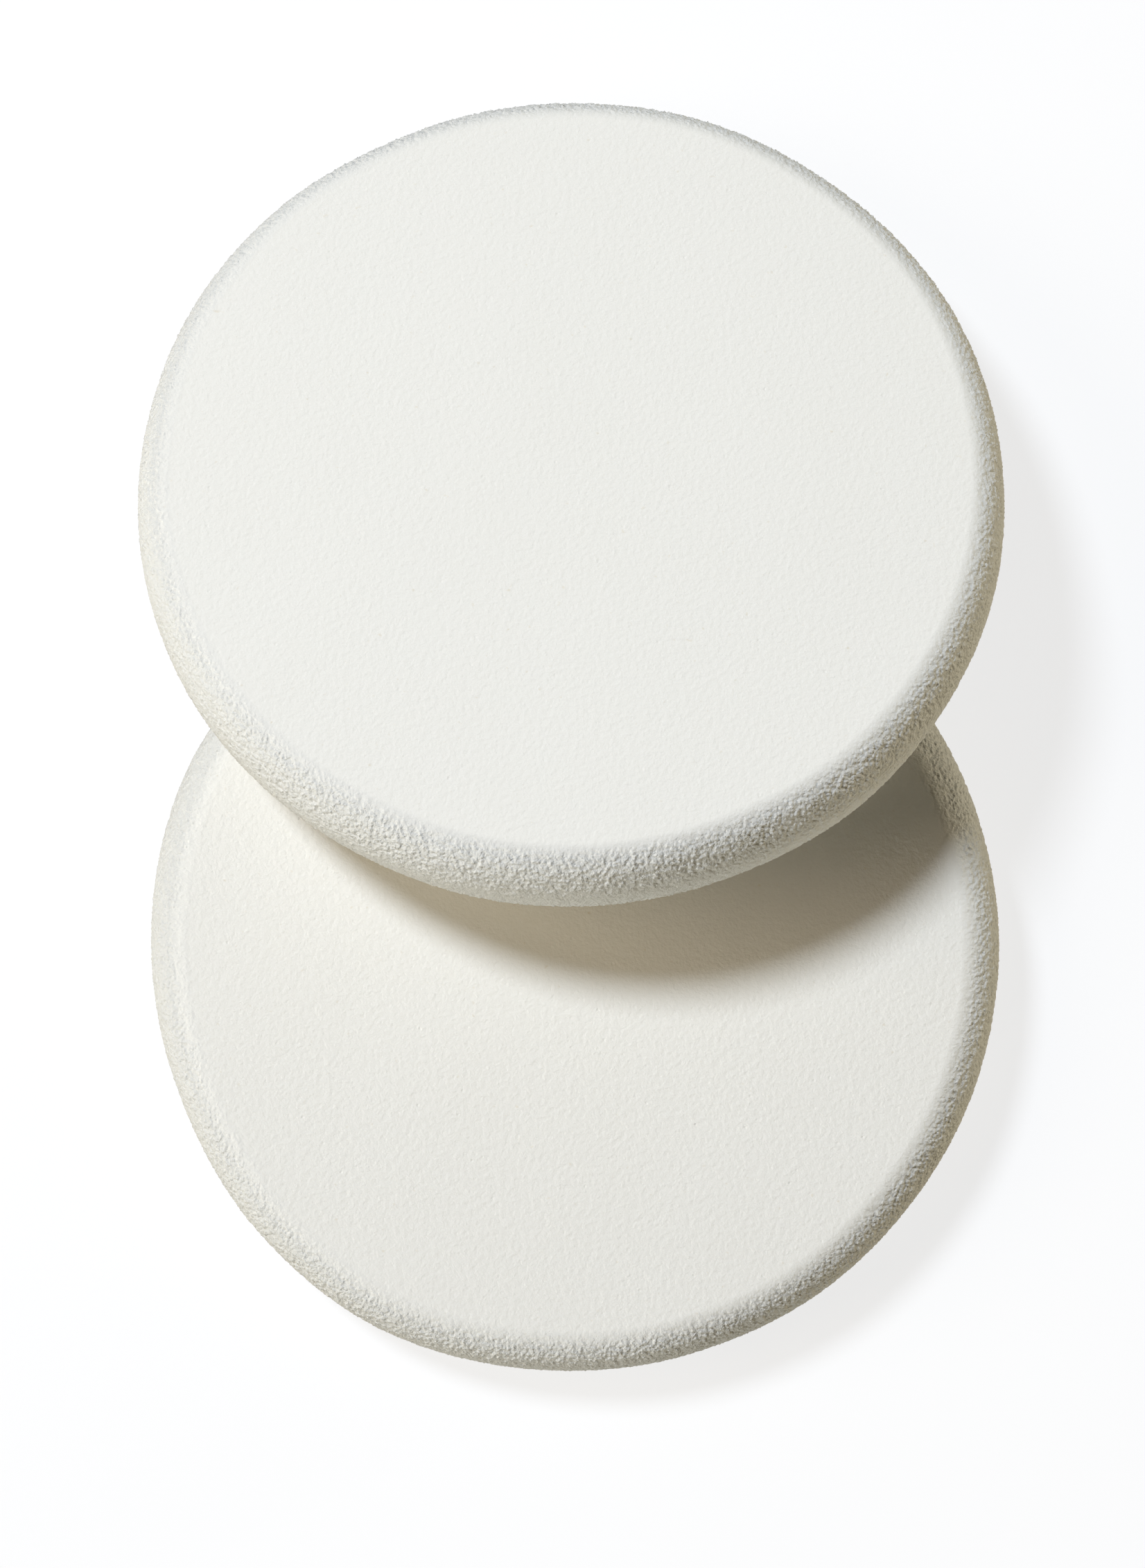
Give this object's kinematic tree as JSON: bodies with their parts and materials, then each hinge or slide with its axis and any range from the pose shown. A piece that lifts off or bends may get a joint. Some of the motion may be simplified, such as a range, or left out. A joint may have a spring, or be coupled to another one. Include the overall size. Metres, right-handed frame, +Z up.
{
  "type": "makeup sponge",
  "caption": "Round flat foam makeup sponges with sliced faces and ground, rounded edges, one leaning back over the other, for putting on and blending face make-up.",
  "frame": {"origin": "middle of the lower sponge's flat underside, on the surface that the pair lies on", "axes": "+Z up; +Y from the lower sponge towards the upper one, which leans back that way; +X to the right seen from the front"},
  "size_m": [0.0559, 0.0826, 0.0216],
  "materials": {
    "lower_foam": "matt off-white open-cell foam",
    "upper_foam": "matt off-white open-cell foam"
  },
  "bodies": {
    "lower": {"lower_sponge": "lower_foam"},
    "upper": {"upper_sponge": "upper_foam"}
  },
  "joints": [
    {"name": "upper_lift", "type": "slide", "parent": "lower", "child": "upper", "axis": [0, 0, 1], "range_m": [0, 0.04]}
  ]
}
